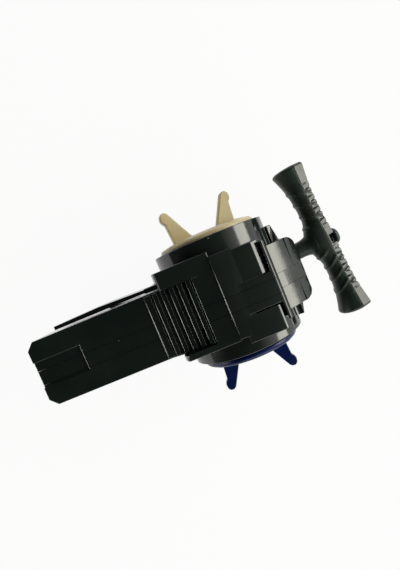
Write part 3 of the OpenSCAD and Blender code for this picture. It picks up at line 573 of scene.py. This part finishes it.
def within(value, low, high, fade):
    """1 inside a stretch, fading to 0 at its ends."""
    return max(0, min(1, (value - low) / fade, (high - value) / fade))


def outer_section(shape, aside, along, deep, flare, grip):
    """Outer half's skin at a turn: a flat face that slopes to the seam, with slanted grip grooves and
    the plug's gap."""
    reach = shape.waist_out - shape.parting + shape.flare_out * shape.flare * flare
    face_turn = QUARTER / 2
    if aside <= face_turn:
        x, z = reach, deep * shape.face_share * aside / face_turn
    else:
        slope = (aside - face_turn) / (QUARTER - face_turn)
        x, z = reach * (1 - slope), deep * (shape.face_share + (1 - shape.face_share) * slope)
    far = abs(along)
    odd, even = shape.groove_slants
    slant = odd if int(far / shape.groove_pitch) % 2 else even
    line = off_line(far + slant * (deep - z), shape.ridge_first, shape.groove_pitch)
    cut = shape.groove_deep * raised(line, shape.groove_wide) * grip * min(1, x / shape.groove_fade)
    inwards, sideways = shape.groove_bite
    x, z = x - cut * inwards, z - cut * sideways * (aside / QUARTER)
    if abs(along + shape.plug_drop) < shape.plug_stem:
        x = min(x, shape.plug_web)
    return x, z


def inner_section(shape, aside, along, deep, flare, bulge, grip):
    """Inner half's skin at a turn: a round face that bulges at the neck, with slanted finger ridges."""
    reach = shape.waist_in + shape.parting + shape.flare * flare + shape.bulge * bulge
    x = -reach * abs(math.cos(aside)) ** shape.inner_curve
    z = deep * math.sin(aside)
    place = abs(along) + shape.ridge_slant * (x + reach / 2)
    line = off_line(place, shape.ridge_first, shape.ridge_pitch)
    lift = 1 + shape.ridge_tall * raised(line, shape.ridge_wide) * grip / deep
    return x * lift, z * lift


def handle_point(shape, turn, along):
    """Point of the handle's skin at an angle from the outward direction, at a place along it."""
    half, far, aside = shape.long / 2, abs(along), abs(turn)
    flare = max(0, (far - shape.flare_start) / (half - shape.flare_start)) ** shape.flare_curve
    bulge = (1 + math.cos(math.pi * far / shape.bulge_half)) / 2 if far < shape.bulge_half else 0
    deep = (shape.waist_deep + shape.flare_deep * shape.flare * flare
            + shape.bulge_deep * shape.bulge * bulge)
    end = max(0, (far - half + shape.end_round) / shape.end_round)
    shrink = 1 - shape.end_shrink * (1 - math.sqrt(max(0, 1 - end * end)))
    grip = within(far, shape.grip_start, half - shape.grip_stop, shape.grip_fade)
    if aside <= QUARTER:
        x, z = outer_section(shape, aside, along, deep, flare, grip)
    else:
        x, z = inner_section(shape, aside, along, deep, flare, bulge, grip)
    return Vector((shape.parting + x * shrink, along, math.copysign(z, turn) * shrink))


def handle_half(shape, keep_outer):
    """One half of the handle, cut at the seam and closed there: a rod of radius 1 and length 2, whose
    points are moved to the handle's skin."""
    bm = ringed_rod(HANDLE_SIDES, radius=1, long=2, rings=HANDLE_RINGS)
    bmesh.ops.bisect_plane(bm, geom=everything(bm), dist=SEAM_NEAR, plane_co=(0, 0, 0),
                           plane_no=(1, 0, 0), clear_inner=keep_outer, clear_outer=not keep_outer)
    bmesh.ops.holes_fill(bm, edges=[e for e in bm.edges if e.is_boundary], sides=0)
    seam_turn = QUARTER - SEAM_TURN if keep_outer else QUARTER + SEAM_TURN
    for vert in bm.verts:
        turn = math.atan2(vert.co.y, vert.co.x)
        if abs(vert.co.x) < SEAM_NEAR:
            turn = math.copysign(seam_turn, vert.co.y)
        vert.co = handle_point(shape, turn, vert.co.z * shape.long / 2)
    bmesh.ops.recalc_face_normals(bm, faces=bm.faces)
    seam = [e for e in bm.edges if e.is_manifold and e.calc_face_angle() > SHARP
            and all(abs(v.co.x - shape.parting) < MERGE for v in e.verts)]
    round_edges(bm, seam, shape.seam_edge, SMALL_EDGE_STEPS)
    bmesh.ops.transform(bm, matrix=handle_matrix(shape), verts=bm.verts)
    return bm


def outline(points, start, radius):
    """Points of an outline in metres, from a place along the pull and a radius."""
    return [(start + along * MM, radius + over * MM) for along, over in points]


def neck_profile(shape):
    """Neck from the bottom of the string's hole, round its tip, to its root in the inner half."""
    tip, bore, root = -shape.neck_long, shape.bore_radius, -shape.waist_in
    hole = [(tip + shape.bore_deep, 0), (tip + shape.bore_deep, bore), (tip + shape.bore_lead, bore),
            (tip, bore + shape.bore_lead)]
    skin = outline(NECK_SKIN, tip, shape.neck_radius)
    root_radius = skin[-1][1]
    return [*hole, *skin, (root, root_radius), (root, 0)]


def plug_profile(shape):
    """Plug from its stem's foot, under and round its head, to the top of its crown."""
    foot, face = shape.parting + shape.plug_foot, shape.waist_out
    head = face + shape.plug_reach
    stem = [(foot, 0), (foot, shape.plug_stem), (face + shape.plug_lift, shape.plug_stem)]
    return [*stem, *outline(PLUG_SKIRT, face, shape.plug_radius),
            *outline(PLUG_CROWN, head, shape.plug_radius), (head, 0)]


def string_run(start, end, radius, rings):
    """Round string between two points."""
    start, end = Vector(start), Vector(end)
    run = end - start
    turn = run.to_track_quat("Z", "Y").to_matrix().to_4x4()
    bm = ringed_rod(STRING_SIDES, radius, run.length, rings)
    bmesh.ops.transform(bm, matrix=Matrix.Translation((start + end) / 2) @ turn, verts=bm.verts)
    return bm


# Operators

class MakeCase(bpy.types.Operator):
    """Make the three case mouldings with rounded edges"""
    bl_idname = "launcher.make_case"
    bl_label = "Case mouldings"

    def execute(self, context):
        edges = context.scene.launcher_edges
        for node in ("upper_shell", "middle_frame", "lower_shell"):
            gap = edges.seam_gap if node == "middle_frame" else 0
            bm = rounded_moulding(node, edges.case, edges.steps, edges.seam_level, gap)
            finished_piece(node + "_moulding", bm, node, "casing", "case_plastic")
        return {"FINISHED"}


class MakeLever(bpy.types.Operator):
    """Make the release lever with rounded edges"""
    bl_idname = "launcher.make_lever"
    bl_label = "Release lever"

    def execute(self, context):
        edges = context.scene.launcher_edges
        bm = rounded_moulding("release_lever", edges.lever, edges.steps)
        finished_piece("lever_moulding", bm, "release_lever", "release_lever", "case_plastic")
        return {"FINISHED"}


class MakeHubs(bpy.types.Operator):
    """Make the ivory and the blue hub with softly rounded prongs"""
    bl_idname = "launcher.make_hubs"
    bl_label = "Hubs"

    def execute(self, context):
        edges = context.scene.launcher_edges
        for node, slot in (("upper_hub", "ivory_plastic"), ("lower_hub", "blue_plastic")):
            bm = rounded_moulding(node, edges.hub, edges.steps)
            finished_piece(node + "_moulding", bm, node, node, slot)
        return {"FINISHED"}


class MakeHandle(bpy.types.Operator):
    """Make the pull handle: ridged inner half with its neck, grooved outer half, and the plug"""
    bl_idname = "launcher.make_handle"
    bl_label = "Pull handle"

    def execute(self, context):
        shape = context.scene.launcher_handle
        matrix = handle_matrix(shape)
        grip = handle_half(shape, keep_outer=False)
        join_in(grip, lathe(neck_profile(shape), matrix))
        finished_piece("grip_half", grip, "handle_grip", "handle", "handle_plastic")
        back = handle_half(shape, keep_outer=True)
        finished_piece("back_half", back, "handle_back", "handle", "handle_plastic", look="handle_face")
        plug = lathe(plug_profile(shape), matrix @ Matrix.Translation((0, -shape.plug_drop, 0)))
        finished_piece("plug_knob", plug, "handle_plug", "handle", "handle_plastic")
        return {"FINISHED"}


class MakeString(bpy.types.Operator):
    """Make the pull string from the winding to the handle's knot"""
    bl_idname = "launcher.make_string"
    bl_label = "Pull string"

    def execute(self, context):
        shape = context.scene.launcher_string
        bm = string_run(shape.leaves, shape.bends, shape.radius, HIDDEN_STRING_RINGS)
        join_in(bm, string_run(shape.bends, shape.ties, shape.radius, PULLED_STRING_RINGS))
        piece = finished_piece("braided_pull_string", bm, "pull_string", None, "cord")
        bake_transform(piece)
        return {"FINISHED"}


class MakeFittings(bpy.types.Operator):
    """Make the small visible fittings with eased edges, and finish what is left of the mechanism"""
    bl_idname = "launcher.make_fittings"
    bl_label = "Fittings"

    def execute(self, context):
        edges = context.scene.launcher_edges
        for node, (body, slot) in FITTINGS.items():
            bm = rounded_moulding(node, edges.fitting, SMALL_EDGE_STEPS)
            finished_piece(node + "_eased", bm, node, body, slot)
        for node in frame["nodes"].values():
            for used in node.material_slots:
                used.material = finish_of(used.material.name.split(".")[0])
        return {"FINISHED"}


class MakeStage(bpy.types.Operator):
    """Make the floor, the soft lights, the room and the camera"""
    bl_idname = "launcher.make_stage"
    bl_label = "Stage"

    def execute(self, context):
        scene, stage = context.scene, context.scene.launcher_stage
        scene.view_settings.view_transform = "Standard"
        self.add_camera(scene, stage)
        self.add_floor(scene, stage)
        for name in ("window", "edge", "fill"):
            self.add_light(scene, stage, name)
        self.add_room(scene, stage)
        return {"FINISHED"}

    def add_camera(self, scene, stage):
        optics = bpy.data.cameras.new("camera")
        optics.sensor_fit, optics.sensor_height, optics.lens = "VERTICAL", stage.sensor, stage.lens
        optics.clip_start = stage.camera_near
        camera = bpy.data.objects.new("camera", optics)
        scene.collection.objects.link(camera)
        camera.location = stage.camera_place
        camera.rotation_euler = Euler(stage.camera_turn, "XYZ")
        scene.camera = camera

    def add_floor(self, scene, stage):
        bm = bmesh.new()
        bmesh.ops.create_grid(bm, x_segments=1, y_segments=1, size=stage.floor_half,
                              matrix=Matrix.Translation((0, 0, -stage.floor_drop)))
        mesh = bpy.data.meshes.new("floor")
        bm.to_mesh(mesh)
        bm.free()
        mesh.materials.append(self.floor_finish(stage))
        floor = bpy.data.objects.new("floor", mesh)
        scene.collection.objects.link(floor)

    def floor_finish(self, stage):
        """Pale matt floor that shows plain white to the camera and in reflections, with the shadow."""
        finish = Finish("pale_floor")
        marks = finish.cloud(scale=6, high=0.03)
        finish.link(finish.mix(marks, stage.floor, stage.floor_marks), "Base Color")
        finish.plain("Roughness", 0.9)
        finish.plain("Specular IOR Level", 0.0)
        path = finish.add("ShaderNodeLightPath").outputs
        seen = finish.maths("MAXIMUM", path["Is Camera Ray"], path["Is Glossy Ray"])
        seen = finish.maths("MAXIMUM", seen, path["Is Transmission Ray"])
        share = finish.maths("MULTIPLY", seen, stage.floor_shown)
        white = finish.add("ShaderNodeEmission", {"Color": (1, 1, 1, 1), "Strength": 1.0}).outputs[0]
        both = finish.add("ShaderNodeMixShader", {0: share, 1: finish.shader.outputs[0], 2: white})
        finish.tree.links.new(both.outputs[0], finish.tree.nodes["Material Output"].inputs["Surface"])
        return finish.material

    def add_light(self, scene, stage, name):
        light = bpy.data.lights.new(name + "_light", "AREA")
        light.shape = "RECTANGLE"
        light.size, light.size_y = getattr(stage, name + "_size")
        light.energy = getattr(stage, name + "_power")
        light.color = stage.light_colour
        lamp = bpy.data.objects.new(name + "_light", light)
        scene.collection.objects.link(lamp)
        lamp.location = getattr(stage, name + "_place")
        aim = Vector(stage.light_aim) - lamp.location
        lamp.rotation_euler = aim.to_track_quat("-Z", "Y").to_euler()

    def add_room(self, scene, stage):
        world = bpy.data.worlds.new("room")
        scene.world = world
        world.use_nodes = True
        tree = world.node_tree
        direction = tree.nodes.new("ShaderNodeTexCoord")
        facing = tree.nodes.new("ShaderNodeVectorMath")
        facing.operation = "DOT_PRODUCT"
        facing.inputs[1].default_value = Vector(stage.dim_side).normalized()
        ramp = tree.nodes.new("ShaderNodeValToRGB")
        shades = ramp.color_ramp.elements
        pale, between, dim = stage.room_stops
        shades[0].color, shades[0].position = (*stage.room_pale, 1), pale
        shades[1].color, shades[1].position = (*stage.room_dim, 1), dim
        shades.new(between).color = (*stage.room_between, 1)
        tree.links.new(direction.outputs["Generated"], facing.inputs[0])
        tree.links.new(facing.outputs["Value"], ramp.inputs[0])
        tree.links.new(ramp.outputs[0], tree.nodes["Background"].inputs["Color"])


class LauncherPanel(bpy.types.Panel):
    """Lists the launcher's pieces and their sizes"""
    bl_idname = "VIEW3D_PT_launcher"
    bl_label = "Spinning Top Launcher"
    bl_space_type = "VIEW_3D"
    bl_region_type = "UI"
    bl_category = "Launcher"

    def draw(self, context):
        layout = self.layout
        for maker in MAKERS:
            layout.operator(maker.bl_idname)
        for group in GROUPS:
            settings = getattr(context.scene, group)
            box = layout.box()
            for key in settings.__annotations__:
                box.prop(settings, key)


MAKERS = (MakeCase, MakeLever, MakeHubs, MakeHandle, MakeString, MakeFittings, MakeStage)
GROUPS = {
    "launcher_edges": LauncherEdges,
    "launcher_handle": HandleShape,
    "launcher_string": StringShape,
    "launcher_colours": LauncherColours,
    "launcher_stage": StageSettings,
}


def register():
    for group in (*GROUPS.values(), *MAKERS, LauncherPanel):
        bpy.utils.register_class(group)
    for key, group in GROUPS.items():
        setattr(bpy.types.Scene, key, PointerProperty(type=group))


def unregister():
    for key in GROUPS:
        delattr(bpy.types.Scene, key)
    for group in (LauncherPanel, *reversed(MAKERS), *reversed(GROUPS.values())):
        bpy.utils.unregister_class(group)


def main():
    register()
    bpy.ops.launcher.make_case()
    bpy.ops.launcher.make_lever()
    bpy.ops.launcher.make_hubs()
    bpy.ops.launcher.make_handle()
    bpy.ops.launcher.make_string()
    bpy.ops.launcher.make_fittings()
    bpy.ops.launcher.make_stage()


if __name__ == "__main__":
    main()
